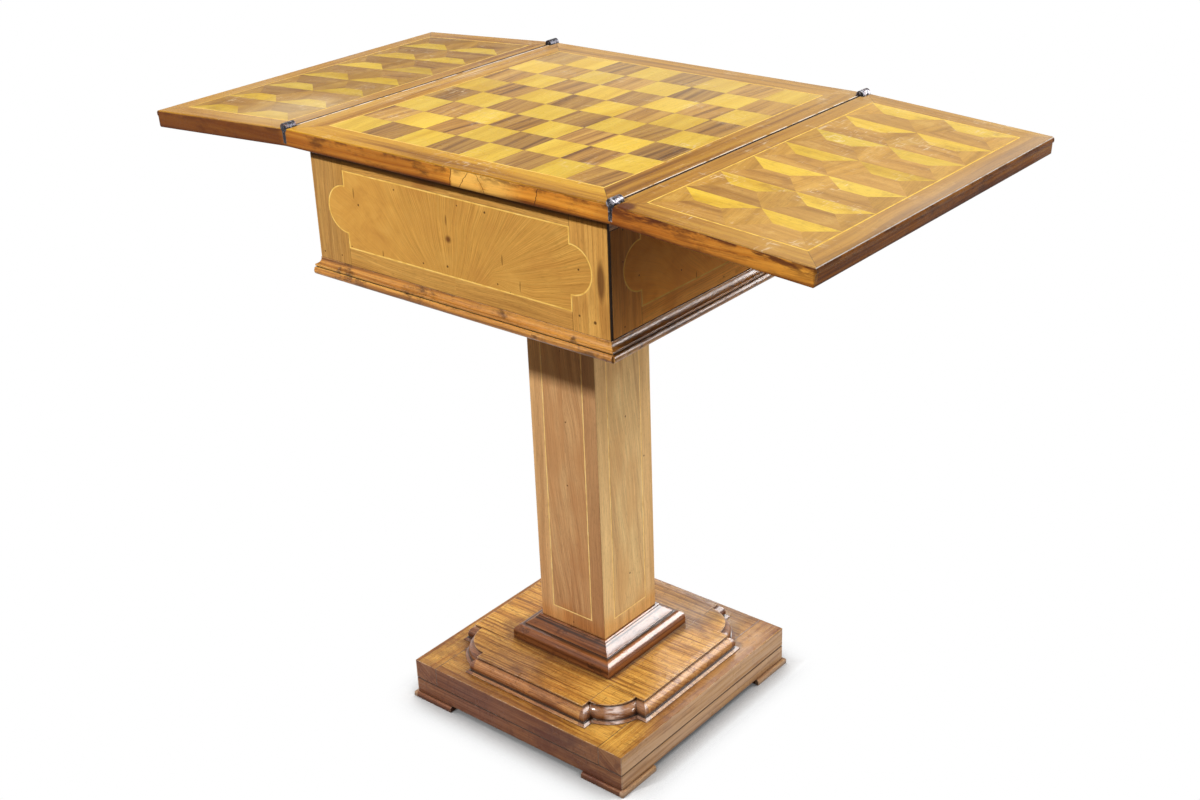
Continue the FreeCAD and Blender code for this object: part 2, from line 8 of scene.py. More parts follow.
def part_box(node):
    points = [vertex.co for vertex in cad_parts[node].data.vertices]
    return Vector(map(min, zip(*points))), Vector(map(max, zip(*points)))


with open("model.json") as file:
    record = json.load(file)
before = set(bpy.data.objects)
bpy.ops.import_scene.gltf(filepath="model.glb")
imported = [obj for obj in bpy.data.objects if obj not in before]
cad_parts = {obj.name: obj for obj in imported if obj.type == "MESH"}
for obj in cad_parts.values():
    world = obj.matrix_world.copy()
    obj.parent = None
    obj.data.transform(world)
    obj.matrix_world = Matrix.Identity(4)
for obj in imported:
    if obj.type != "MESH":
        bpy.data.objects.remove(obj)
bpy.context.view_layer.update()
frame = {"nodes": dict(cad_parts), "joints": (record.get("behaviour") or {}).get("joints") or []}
nodes = frame["nodes"]

# Places that the finishes need, read from the model
field_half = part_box("light_squares")[1][0]
square = field_half / 4
top_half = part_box("middle_core")[1][0]
box_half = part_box("box_field_veneers")[1][1]
cartouche_low, cartouche_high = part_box("box_lines")[0][2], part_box("box_lines")[1][2]
column_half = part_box("column_side_boards")[1][0]
column_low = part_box("column_lines")[0][2]
plinth_half, plinth_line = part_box("plinth_lower_board")[1][0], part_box("plinth_lower_board")[1][2]
platform_low, platform_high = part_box("platform_board")[0][2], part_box("platform_board")[1][2]
foot_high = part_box("column_foot_mouldings")[1][2]
cleat_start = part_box("plinth_upper_board")[1][0]
leaf_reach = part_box("right_leaf_core")[1][0]
leaf_droop = math.radians(3.5)
hinge_joint = next(joint for joint in frame["joints"] if joint["name"] == "right_leaf_fold")
axis_x, axis_z = hinge_joint["pos_m"][0], hinge_joint["pos_m"][2]
leaf_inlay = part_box("right_leaf_brown_pieces")
leaf_field = leaf_inlay[1][1]
leaf_field_start = (leaf_inlay[0][0] - axis_x) / math.cos(leaf_droop)
leaf_column = (leaf_inlay[1][0] - leaf_inlay[0][0]) / math.cos(leaf_droop) / 2
leaf_end = (leaf_reach - axis_x) / math.cos(leaf_droop)

# Places inside a piece, where no node's box gives them
cartouche_end = 0.161
column_strip = 0.0195
lobe_start, lobe_flat, platform_flat = 0.086, 0.036, 0.131
leaf_rows = 7


class Wire:
    """A value that runs through a finish; the usual operators add the nodes that work it out."""

    def __init__(self, finish, socket):
        self.finish = finish
        self.socket = socket

    def math(self, operation, *others):
        values = dict(enumerate((self,) + others))
        return self.finish.node("ShaderNodeMath", {"operation": operation}, values)

    def __add__(self, other):
        return self.math("ADD", other)

    __radd__ = __add__

    def __mul__(self, other):
        return self.math("MULTIPLY", other)

    __rmul__ = __mul__

    def __sub__(self, other):
        return self.math("SUBTRACT", other)

    def __rsub__(self, other):
        return self.finish.node("ShaderNodeMath", {"operation": "SUBTRACT"}, {0: other, 1: self})

    def __truediv__(self, other):
        return self.math("DIVIDE", other)

    def __rtruediv__(self, other):
        return self.finish.node("ShaderNodeMath", {"operation": "DIVIDE"}, {0: other, 1: self})

    def __pow__(self, other):
        return self.math("POWER", other)

    def __abs__(self):
        return self.math("ABSOLUTE")

    def floor(self):
        return self.math("FLOOR")

    def above(self, limit):
        """1 where the value is over the limit, 0 elsewhere."""
        return self.math("GREATER_THAN", limit)

    def least(self, other):
        return self.math("MINIMUM", other)

    def most(self, other):
        return self.math("MAXIMUM", other)

    def ease(self, low, high, start=0.0, end=1.0):
        """Goes smoothly from start to end while the value goes from low to high."""
        values = {0: self, 1: low, 2: high, 3: start, 4: end}
        return self.finish.node("ShaderNodeMapRange", {"interpolation_type": "SMOOTHSTEP"}, values)

    def choose(self, no, yes):
        """A number that is the first where this value is 0 and the second where it is 1."""
        return self.finish.node("ShaderNodeMix", {"data_type": "FLOAT"}, {0: self, 2: no, 3: yes})


class Tree:
    """One node tree, built from code."""

    def __init__(self, tree):
        self.tree = tree

    def node(self, kind, settings, values, output=0):
        """Adds any node: its settings first, then the values or links of its sockets."""
        node = self.tree.nodes.new(kind)
        for key, value in settings.items():
            if key == "stops":
                ramp = node.color_ramp
                while len(ramp.elements) < len(value):
                    ramp.elements.new(1.0)
                for element, (place, colour) in zip(ramp.elements, value):
                    element.position = place
                    element.color = (*colour, 1.0)
            else:
                setattr(node, key, value)
        for key, value in values.items():
            self.feed(node.inputs[key], value)
        return Wire(self, node.outputs[output])

    def feed(self, socket, value):
        if isinstance(value, Wire):
            self.tree.links.new(value.socket, socket)
        elif isinstance(value, tuple) and len(value) == 3 and len(socket.default_value) == 4:
            socket.default_value = (*value, 1.0)
        else:
            socket.default_value = value

    def seen(self):
        """1 for what the camera sees, straight or in a gloss, and 0 for light that only bounces."""
        camera, gloss, through = (self.node("ShaderNodeLightPath", {}, {}, "Is " + kind + " Ray")
                                  for kind in ("Camera", "Glossy", "Transmission"))
        return camera.most(gloss).most(through)


class Finish(Tree):
    """A material for wood or metal."""

    def __init__(self, name):
        self.material = bpy.data.materials.new(name)
        self.material.use_nodes = True
        super().__init__(self.material.node_tree)
        self.shader = self.tree.nodes["Principled BSDF"]
        place = self.node("ShaderNodeTexCoord", {}, {}, "Object")
        self.x, self.y, self.z = (self.node("ShaderNodeSeparateXYZ", {}, {0: place}, axis)
                                  for axis in "XYZ")

    def vector(self, x, y, z):
        return self.node("ShaderNodeCombineXYZ", {}, {0: x, 1: y, 2: z})

    def noise(self, place, detail=2.0, roughness=0.5, distortion=0.0):
        """Cloudy noise at a place that is given as three values."""
        values = {"Vector": self.vector(*place), "Scale": 1.0, "Detail": detail, "Roughness": roughness,
                  "Distortion": distortion}
        return self.node("ShaderNodeTexNoise", {}, values, "Fac")

    def patches(self, scale, detail=2.0, roughness=0.5):
        """Noise over the whole piece, scaled along each axis."""
        return self.noise((self.x * scale[0], self.y * scale[1], self.z * scale[2]), detail, roughness)

    def away(self, place, spot):
        """How far a place is from a spot."""
        return self.node("ShaderNodeVectorMath", {"operation": "DISTANCE"}, {0: place, 1: spot}, "Value")

    def chance(self, x, y, z=0.0):
        """A fixed random number for each whole-numbered cell."""
        return self.node("ShaderNodeTexWhiteNoise", {}, {"Vector": self.vector(x, y, z)}, "Value")

    def specks(self, place, size, share):
        """Small round spots, in only this share of the cells."""
        flat = {"voronoi_dimensions": "2D"}
        values = {"Vector": self.vector(*place), "Scale": 1.0}
        spot = self.node("ShaderNodeTexVoronoi", flat, values, "Distance")
        colour = self.node("ShaderNodeTexVoronoi", flat, values, "Color")
        picked = self.node("ShaderNodeSeparateColor", {}, {0: colour}, "Red")
        return spot.ease(size * 0.6, size, 1.0, 0.0) * (1 - picked.above(share))

    def ramp(self, value, *stops):
        return self.node("ShaderNodeValToRGB", {"stops": stops}, {0: value}, "Color")

    def mix(self, factor, under, over, way="MIX"):
        settings = {"data_type": "RGBA", "blend_type": way}
        return self.node("ShaderNodeMix", settings, {0: factor, 6: under, 7: over}, 2)

    def tint(self, factor, colour, shade):
        return self.mix(factor, colour, shade, "MULTIPLY")

    def grey(self, value):
        return self.node("ShaderNodeCombineColor", {}, {0: value, 1: value, 2: value})

    def edges(self, radius):
        """A normal rounded at the arrises, and how far it leans there from the flat face."""
        rounded = self.node("ShaderNodeBevel", {"samples": 6}, {"Radius": radius}, "Normal")
        flat = self.node("ShaderNodeNewGeometry", {}, {}, "Normal")
        dot = {"operation": "DOT_PRODUCT"}
        return rounded, 1 - self.node("ShaderNodeVectorMath", dot, {0: rounded, 1: flat}, "Value")

    def crevice(self, reach):
        """1 in the open, falling to 0 deep in a groove."""
        return self.node("ShaderNodeAmbientOcclusion", {"samples": 6}, {"Distance": reach}, "AO")

    def close(self, colour, roughness, height=None, depth=0.0002, normal=None, coat=0.0, metal=0.0,
              shine=0.3):
        """Feeds the shader; depth is how deep the bumps of the height go, in metres."""
        self.feed(self.shader.inputs["Base Color"], colour)
        self.shader.inputs["Specular IOR Level"].default_value = shine
        self.feed(self.shader.inputs["Roughness"], roughness)
        self.feed(self.shader.inputs["Metallic"], metal)
        self.feed(self.shader.inputs["Coat Weight"], coat)
        self.shader.inputs["Coat Roughness"].default_value = 0.1
        if height is not None:
            values = {"Height": height, "Distance": depth, "Strength": 1.0}
            if normal is not None:
                values["Normal"] = normal
            normal = self.node("ShaderNodeBump", {}, values)
        if normal is not None:
            self.feed(self.shader.inputs["Normal"], normal)
        return self.material


def timber(finish, along, across, through, tones, stripe, wander, stripe_share=0.75, fibre=0.22,
           pores=0.35):
    """Colour and height of sawn wood, given the directions along, across and through its grain."""
    sway = finish.noise((along * 4.0, across * 9.0, through * 9.0), 2.0) - 0.5
    bent = across + sway * wander
    broad = finish.noise((along * 1.6, bent * stripe * 0.35, through * 12.0), 3.0, 0.55)
    band = finish.noise((along * 3.0, bent * stripe, through * 30.0), 4.0, 0.62)
    strand = finish.noise((along * 22.0, bent * 900.0, through * 500.0), 2.0, 0.6)
    vessel = finish.noise((along * 120.0, bent * 2200.0, through * 1500.0), 1.0)
    tone = (broad * (1 - stripe_share) + band * stripe_share).ease(0.3, 0.7)
    colour = finish.ramp(tone, (0.0, tones[0]), (0.45, tones[1]), (1.0, tones[2]))
    colour = finish.tint(fibre, colour, finish.grey(strand.ease(0.25, 0.75, 0.35, 1.15)))
    pits = vessel.ease(0.60, 0.72) * pores
    colour = finish.mix(pits, colour, tuple(channel * 0.35 for channel in tones[0]))
    height = strand * 0.35 - pits
    return colour, height


def polish(finish, low, high, scale=14.0):
    """Roughness of an old hand-rubbed shine: clear in places, dulled by use in others."""
    smear = finish.patches((scale, scale, scale), 4.0, 0.6)
    return smear.ease(0.3, 0.7, low, high)


def worn(finish, colour, radius, bright, grime_and_shade, reach=0.008, keep=1.0):
    """Rubbed pale arrises, and dark wax with painted shade deep in the grooves, with the rounded normal that
    goes with them.
    """
    normal, lean = finish.edges(radius)
    patchy = finish.patches((60.0, 60.0, 60.0), 3.0, 0.6)
    rubbed = lean.ease(0.02, 0.22) * patchy.ease(0.35, 0.62)
    colour = finish.mix(rubbed * 0.55 * keep, colour, bright)
    # Painted shade with the wax: darker where the surface is hemmed in
    open_air = finish.crevice(reach)
    colour = finish.mix(open_air.ease(0.25, 0.85, 0.8, 0.0), colour, grime_and_shade)
    return colour, normal, lean.ease(0.03, 0.2)


# Tones of each wood, from its dark bands to its pale ones
WALNUT = ((0.120, 0.045, 0.009), (0.37, 0.177, 0.031), (0.53, 0.298, 0.056))
HONEY = ((0.20, 0.074, 0.010), (0.44, 0.205, 0.025), (0.57, 0.310, 0.043))
STRIP = ((0.43, 0.205, 0.050), (0.57, 0.297, 0.071), (0.65, 0.370, 0.097))
BOXWOOD = ((0.55, 0.316, 0.022), (0.66, 0.417, 0.034), (0.735, 0.50, 0.060))
RED_EDGE = ((0.135, 0.034, 0.007), (0.465, 0.163, 0.021), (0.66, 0.29, 0.044))
PALE_PATCH = ((0.50, 0.235, 0.050), (0.67, 0.345, 0.078), (0.75, 0.435, 0.120))
COLUMN = ((0.46, 0.236, 0.100), (0.595, 0.338, 0.150), (0.665, 0.408, 0.186))
BASE = ((0.17, 0.054, 0.009), (0.53, 0.242, 0.040), (0.74, 0.43, 0.092))
COLUMN_STRIP = ((0.53, 0.285, 0.121), (0.70, 0.413, 0.182), (0.78, 0.495, 0.229))
FEATHER = ((0.54, 0.258, 0.055), (0.615, 0.314, 0.066), (0.670, 0.362, 0.082))
MOULDING = ((0.11, 0.033, 0.007), (0.50, 0.205, 0.035), (0.70, 0.36, 0.074))
FOOT_MOULDING = ((0.062, 0.017, 0.005), (0.215, 0.067, 0.016), (0.37, 0.137, 0.037))
LEAF_DARK = ((0.27, 0.117, 0.023), (0.455, 0.225, 0.044), (0.55, 0.295, 0.066))
LEAF_BROWN = ((0.34, 0.160, 0.025), (0.49, 0.247, 0.039), (0.575, 0.317, 0.059))
PINE = ((0.42, 0.25, 0.11), (0.56, 0.36, 0.17), (0.66, 0.46, 0.25))
# Dark wax for joints, also used as painted shade in grooves, quirks and hollows
DARK_WAX_AND_SHADE = (0.035, 0.016, 0.008)
HOLE = (0.06, 0.022, 0.008)


# Marks on the top: knocks as place and reach, the spot of painted glare by the left front hinge, the chip by
# the right one
KNOCKS = (((-0.172, -0.022, 0.0), 0.030), ((-0.176, 0.168, 0.0), 0.026), ((0.315, 0.09, 0.0), 0.07))
GLARE_SPOT_BY_HINGE = (-0.285, -0.16, 0.0)
CHIPPED_CORNER = (0.243, -0.222, 0.0)


def scuffed(finish, colour, amount):
    """Pale scratches and hazed patches of a top that was played on, with painted glare at the back, on the
    right leaf and by one hinge.
    """
    haze = finish.patches((18.0, 18.0, 18.0), 5.0, 0.7).ease(0.50, 0.74)
    fine = finish.patches((420.0, 60.0, 60.0), 2.0).ease(0.60, 0.68)
    cross = finish.patches((70.0, 460.0, 60.0), 2.0).ease(0.61, 0.69)
    marks = fine.most(cross)
    place = finish.vector(finish.x, finish.y, 0.0)
    knocks = haze * amount
    for spot, reach in KNOCKS:
        near = finish.away(place, spot).ease(reach * 0.2, reach, 0.8, 0.0)
        knocks = knocks.most(near * haze.ease(0.0, 0.5, 0.35, 1.0))
    colour = finish.mix(knocks * marks, colour, (0.80, 0.66, 0.46))
    # Painted glare: a pale wash by the left front hinge, at the back of the board and on the right leaf,
    # strongest in the hazed patches
    by_hinge = finish.away(place, GLARE_SPOT_BY_HINGE).ease(0.01, 0.10, 0.4, 0.0)
    at_back = finish.y.ease(-0.06, 0.24, 0.0, 0.26) * finish.x.ease(-0.24, -0.16)
    at_right = (finish.x + finish.y * 0.4).ease(0.12, 0.42, 0.0, 0.2) * finish.x.above(top_half)
    dull = at_back.most(by_hinge).most(at_right) * haze.ease(0.0, 1.0, 0.75, 1.2)
    return finish.mix(dull, colour, (0.74, 0.58, 0.34))


def board_square(name, tones, stripe, contrast, spread, seam):
    """Veneer squares, each with its own cut of the wood, and a thin glue line round each."""
    finish = Finish(name)
    column = (finish.x / square).floor()
    row = (finish.y / square).floor()
    luck = finish.chance(column, row)
    twist = finish.chance(column, row, 7.0) - 0.5
    along = finish.y + luck * 3.1
    across = finish.x + (finish.y - row * square) * twist * 0.28 + luck * 1.7
    colour, height = timber(finish, along, across, finish.z + luck, tones, stripe, 0.014, contrast)
    shade = luck.ease(0.0, 1.0, 1.0 - spread, 1.0 + spread * 0.6)
    colour = finish.tint(1.0, colour, finish.grey(shade))
    inside_x = abs(finish.x / square - column - 0.5)
    inside_y = abs(finish.y / square - row - 0.5)
    joint = inside_x.most(inside_y).ease(0.492, 0.4985)
    colour = finish.mix(joint * 0.75, colour, seam)
    colour = scuffed(finish, colour, 0.5)
    return finish.close(colour, polish(finish, 0.18, 0.34), height - joint, 0.00012, shine=0.03)


def leaf_place(finish):
    """Out from a leaf's hinge and along it, as on a flat leaf; which side this is; and 1 on a leaf, or 0."""
    side = finish.x.above(0.0) * 2 - 1
    out = (finish.x * side - axis_x) * math.cos(leaf_droop) + (axis_z - finish.z) * math.sin(leaf_droop)
    return out, finish.y * side, side, abs(finish.x).above(top_half + 0.0006)


def border_veneer(name):
    """Mitred walnut borders, the grain running along each strip."""
    finish = Finish(name)
    out, _, side, on_leaf = leaf_place(finish)
    on_middle, on_right = 1 - on_leaf, side.above(0.0)
    middle_strip = abs(finish.y).above(abs(finish.x))
    to_end = top_half - abs(finish.y)
    to_side = out.least(leaf_end - out)
    leaf_strip = to_side.above(to_end)
    across_board = on_leaf.choose(middle_strip, leaf_strip)
    along = across_board.choose(finish.y, finish.x) + across_board * 2.3
    across = across_board.choose(finish.x, finish.y)
    colour, height = timber(finish, along, across, finish.z, HONEY, 90.0, 0.02, 0.7)
    from_mitre = on_leaf.choose(abs(abs(finish.x) - abs(finish.y)), abs(to_side - to_end))
    colour = finish.mix(from_mitre.ease(0.0002, 0.0007, 0.6, 0.0), colour, DARK_WAX_AND_SHADE)
    rub = finish.noise((finish.x * 30.0, finish.y * 30.0, 3.0), 4.0, 0.65).ease(0.58, 0.75)
    colour = finish.mix(rub * 0.35, colour, (0.22, 0.095, 0.03))
    colour = finish.tint(on_leaf * (1 - side), colour, (0.86, 0.84, 0.84))
    colour = finish.tint(on_middle * middle_strip * (1 - finish.y.above(0.0)), colour, (1.12, 1.14, 0.80))
    colour = finish.tint(on_middle * (1 - middle_strip) * on_right, colour, (0.89, 0.87, 0.78))
    colour = finish.tint(on_leaf * on_right, colour, (0.90, 0.88, 0.94))
    colour, normal, gleam = worn(finish, colour, 0.0007, (0.74, 0.50, 0.24), DARK_WAX_AND_SHADE, 0.003, 0.3)
    colour = scuffed(finish, colour, 0.6)
    from_joint = abs(finish.x) - top_half
    broken = finish.noise((finish.x * 30.0, finish.y * 45.0, 0.0), 3.0, 0.6).ease(0.38, 0.52)
    # Painted highlight: a pale broken line on the middle's rounded arris beside each joint
    rounded = from_joint.ease(-0.0030, -0.0020) * from_joint.ease(-0.0012, -0.0006, 1.0, 0.0)
    colour = finish.mix(rounded * broken * 0.8, colour, (0.84, 0.76, 0.66))
    scrape = finish.noise((finish.x * 700.0, finish.y * 10.0, 0.0), 3.0, 0.6).ease(0.50, 0.66)
    scraped = finish.x.ease(-0.214, -0.198, 1.0, 0.0) * on_middle * finish.y.ease(-0.16, -0.05)
    colour = finish.mix(scrape * scraped * 0.55, colour, (0.80, 0.70, 0.54))
    # Painted glare: a pale wash on the right leaf's outer border
    painted_border_glare = (leaf_end - out).ease(0.004, 0.034, 0.13, 0.0) * on_leaf * on_right * finish.y.ease(-0.2, 0.0)
    colour = finish.mix(painted_border_glare, colour, (0.78, 0.70, 0.64))
    # Painted highlight: a pale broken line along the right leaf's outer arris
    rim = (leaf_end - out).ease(0.0006, 0.0018, 1.0, 0.0) * on_leaf * on_right
    colour = finish.mix(rim * broken.ease(0.0, 1.0, 0.5, 1.0), colour, (0.88, 0.82, 0.78))
    chip = finish.away(finish.vector(finish.x, finish.y, rub * 0.008), CHIPPED_CORNER)
    colour = finish.mix(chip.ease(0.006, 0.012, 0.85, 0.0), colour, (0.085, 0.020, 0.010))
    gap = abs(from_joint - 0.0008).ease(0.0011, 0.0019, 0.92, 0.0)
    colour = finish.mix(gap, colour, (0.030, 0.022, 0.026))
    dull = polish(finish, 0.18, 0.34)
    return finish.close(colour, dull, height, 0.00012, normal, gleam * 0.1, shine=0.02)


def light_line(name, low, middle, high):
    """Thin boxwood stringing, yellowed and dull in places."""
    finish = Finish(name)
    broken = finish.patches((90.0, 90.0, 90.0), 3.0)
    colour = finish.ramp(broken, (0.25, low), (0.5, middle), (0.8, high))
    return finish.close(colour, polish(finish, 0.2, 0.36), broken, 0.00005, shine=0.03)


def leaf_wood(name, tones, stripe, across_leaf, luck_seed, shift, left_shade):
    """Marquetry pieces of the leaves, each cut from another bit of veneer."""
    finish = Finish(name)
    out, back, side, _ = leaf_place(finish)
    row = ((back + leaf_field) / (leaf_field * 2 / leaf_rows)).floor()
    column = ((out - leaf_field_start) / leaf_column + shift).floor()
    luck = finish.chance(row, column, luck_seed + side)
    lean = finish.chance(row, column, luck_seed + side + 9.0) - 0.5
    if across_leaf:
        along = out + luck * 2.7
        across = back + out * lean * 0.3 + luck * 1.3
    else:
        along = back + luck * 2.7
        across = out + back * lean * 0.6 + luck * 1.3
    colour, height = timber(finish, along, across, finish.z + luck, tones, stripe, 0.014, 0.7)
    shade = luck.ease(0.0, 1.0, 0.90, 1.08) * side.above(0.0).choose(left_shade, 1.0)
    colour = finish.tint(1.0, colour, finish.grey(shade))
    mottle = finish.noise((out * 38.0, back * 38.0, luck * 5.0), 5.0, 0.68)
    colour = finish.mix(mottle.ease(0.50, 0.72) * 0.42, colour, (0.22, 0.085, 0.022))
    colour = finish.mix(mottle.ease(0.30, 0.46, 0.22, 0.0), colour, (0.74, 0.48, 0.14))
    colour = scuffed(finish, colour, 0.8)
    return finish.close(colour, polish(finish, 0.18, 0.34), height, 0.00012, shine=0.01)


# Cracks in the front edge: place, lean, width
FRONT_CRACKS = ((0.0225, 0.15, 0.0008), (0.041, 0.7, 0.0006), (0.062, -0.5, 0.0005), (0.137, 0.3, 0.0008))


def edge_wood(name):
    """The edges and undersides of the middle top and the leaves, red-brown with old stains and one mend."""
    finish = Finish(name)
    on_end = abs(finish.y).above(top_half - 0.004)
    along = on_end.choose(finish.y, finish.x)
    across = finish.z * 1.6 + on_end.choose(finish.x, finish.y) * 0.4
    through = on_end.choose(finish.x, finish.y)
    colour, height = timber(finish, along, across, through, RED_EDGE, 130.0, 0.012, 0.6)
    patch, _ = timber(finish, along, across, finish.y, PALE_PATCH, 60.0, 0.02, 0.5)
    ragged = finish.patches((40.0, 40.0, 90.0), 4.0, 0.6)
    front = finish.y.ease(-0.2265, -0.2235, 1.0, 0.0)
    mended = finish.x + (ragged - 0.5) * 0.012
    mend = mended.ease(0.021, 0.025) * mended.ease(0.080, 0.125, 1.0, 0.0) * front
    colour = finish.mix(mend * ragged.ease(0.28, 0.45), colour, patch)
    stain = finish.patches((26.0, 26.0, 70.0), 5.0, 0.65).ease(0.53, 0.72)
    colour = finish.mix(stain * (0.75 - mend * 0.5), colour, (0.055, 0.016, 0.006))
    colour = finish.mix(finish.x.ease(-0.24, -0.22, 0.8, 0.0) * front, colour, (0.13, 0.040, 0.011))
    colour = finish.tint(finish.x.ease(-0.06, 0.02, 0.9, 0.0) * front, colour, (0.74, 0.66, 0.68))
    rubbed = finish.x.ease(0.0, 0.03) * finish.x.ease(0.20, 0.228, 1.0, 0.0) * front
    colour = finish.tint(rubbed, colour, (1.3, 1.35, 1.25))
    _, _, side, on_leaf = leaf_place(finish)
    tilted = (finish.z - axis_z) * math.cos(leaf_droop) + (finish.x * side - axis_x) * math.sin(leaf_droop)
    up = on_leaf.choose(finish.z - axis_z, tilted)
    grime = up.ease(-0.010, -0.0015) * ragged.ease(0.46, 0.60) * 0.75
    colour = finish.mix(grime, colour, (0.075, 0.021, 0.008))
    colour = finish.mix(up.ease(-0.0205, -0.0160, 0.65, 0.0), colour, (0.06, 0.018, 0.007))
    for place, lean, wide in FRONT_CRACKS:
        crack = abs(finish.x - place - (up + 0.01) * lean + (ragged - 0.5) * 0.010)
        colour = finish.mix(crack.ease(wide * 0.4, wide, 0.85, 0.0) * front, colour, (0.045, 0.014, 0.006))
    worn_leaf = on_leaf * front * (side * 0.5 + 0.5)
    paler = finish.ramp(finish.x, (0.23, (0.72, 0.58, 0.62)), (0.32, (1.05, 1.02, 1.10)),
                        (0.44, (1.18, 1.26, 1.22)))
    colour = finish.tint(worn_leaf, colour, paler)
    spill = finish.noise((finish.x * 22.0, finish.y * 30.0, up * 110.0), 5.0, 0.7).ease(0.47, 0.60)
    spilt = worn_leaf * spill * up.ease(-0.016, -0.004, 0.25, 0.9)
    colour = finish.mix(spilt, colour, (0.085, 0.022, 0.009))
    # Stains and painted shade: the leaves' outer end faces darker
    outer_stain_and_shade = abs(finish.x).ease(leaf_reach - 0.0045, leaf_reach - 0.0025)
    colour = finish.tint(outer_stain_and_shade, colour, (0.62, 0.60, 0.62))
    colour, normal, gleam = worn(finish, colour, 0.0010, (0.62, 0.33, 0.10), DARK_WAX_AND_SHADE, 0.006)
    dull = polish(finish, 0.2, 0.42, 25.0)
    return finish.close(colour, dull, height, 0.0002, normal, gleam * 0.3, shine=0.05)


def panel_place(finish):
    """Along and up on the box's sides, whichever way each faces."""
    faces_front = abs(finish.y).above(box_half - 0.0026)
    along = faces_front.choose(finish.y, finish.x * (finish.y.above(0.0) * -2 + 1))
    return along, finish.z, faces_front


# Worm holes of the front: along, up, radius
FRONT_HOLES = ((-0.082, 0.708, 0.0013), (-0.140, 0.680, 0.0016), (0.010, 0.708, 0.0012),
               (0.049, 0.708, 0.0017), (-0.046, 0.633, 0.0014), (-0.010, 0.637, 0.0018),
               (0.061, 0.633, 0.0013), (0.078, 0.627, 0.0017), (0.171, 0.673, 0.0016),
               (0.190, 0.621, 0.0024), (0.170, 0.624, 0.0016), (-0.175, 0.615, 0.0013),
               (-0.203, 0.614, 0.0014), (-0.157, 0.629, 0.0012))


def worm_holes(finish, along, up, faces_front):
    """Worm holes: those of the front in their places, and a few strewn over the other sides."""
    front = faces_front * (1 - finish.y.above(0.0))
    holes = finish.specks((along * 42.0 + faces_front * 5.0, up * 42.0, 0.0), 0.05, 0.15) * (1 - front)
    ragged = finish.noise((along * 500.0, up * 500.0, faces_front), 2.0) - 0.5
    place = finish.vector(along, up, ragged * 0.002)
    for where, high, size in FRONT_HOLES:
        hole = finish.away(place, (where, high, 0.0)).ease(size * 0.5, size, 1.0, 0.0)
        holes = holes.most(hole * front)
    return holes


def in_shade(finish, colour, faces_front):
    """Painted shade and light on the drawer's side under its leaf: redder, darker at the top, lighter
    towards the bottom.
    """
    drawer = (1 - faces_front) * finish.x.above(0.0)
    shade = finish.mix(finish.z.ease(0.60, 0.70), (1.60, 1.36, 1.26), (0.98, 0.86, 0.86))
    return finish.tint(drawer, colour, shade)


def feathered_panel(name):
    """Figured walnut in fine rays that fan out from two points low in each panel."""
    finish = Finish(name)
    along, up, faces_front = panel_place(finish)
    drift = finish.noise((along * 10.0, up * 10.0, faces_front * 5.0), 1.0) - 0.5

    def fan(middle, drop):
        aside = along - middle + drift * 0.03
        rise = up - cartouche_low + drop + drift * 0.03
        angle = aside.math("ARCTAN2", rise)
        reach = (aside * aside + rise * rise) ** 0.5
        through = faces_front * 3.0 + middle
        return timber(finish, reach * 0.8, angle * 0.16, through, FEATHER, 520.0, 0.006, 0.6, 0.5, 0.5)

    colour, height = fan(-0.006, 0.045)
    second, _ = fan(0.030, -0.006)
    colour = finish.mix((along + drift * 0.08).ease(0.032, 0.062), colour, second)
    cloud = finish.noise((along * 16.0, up * 16.0, faces_front * 2.0), 3.0, 0.55)
    colour = finish.mix(cloud.ease(0.45, 0.7, 0.0, 0.4), colour, (0.46, 0.203, 0.045))
    colour = finish.mix(cloud.ease(0.3, 0.45, 0.35, 0.0), colour, (0.70, 0.40, 0.10))
    curl = finish.noise((along * 26.0, up * 30.0, faces_front * 3.0), 5.0, 0.6, 0.8)
    burl = finish.ramp(curl, (0.32, (0.50, 0.235, 0.050)), (0.5, (0.615, 0.316, 0.066)),
                       (0.68, (0.675, 0.372, 0.086)))
    colour = finish.mix(along.ease(-0.13, -0.03, 0.7, 0.0).most((1 - faces_front) * 0.5), colour, burl)
    knot = ((along + 0.006) ** 2.0 + (up - cartouche_low - 0.042) ** 2.0) ** 0.5
    colour = finish.mix(knot.ease(0.0012, 0.006, 0.9, 0.0), colour, (0.13, 0.042, 0.012))
    cracks = finish.specks((along * 130.0 + faces_front * 5.0, up * 22.0, 0.0), 0.16, 0.05)
    holes = worm_holes(finish, along, up, faces_front)
    colour = finish.mix(holes.most(cracks * 0.6) * 0.85, colour, HOLE)
    colour = in_shade(finish, colour, faces_front)
    return finish.close(colour, polish(finish, 0.26, 0.44), height - holes, 0.00015, shine=0.03)


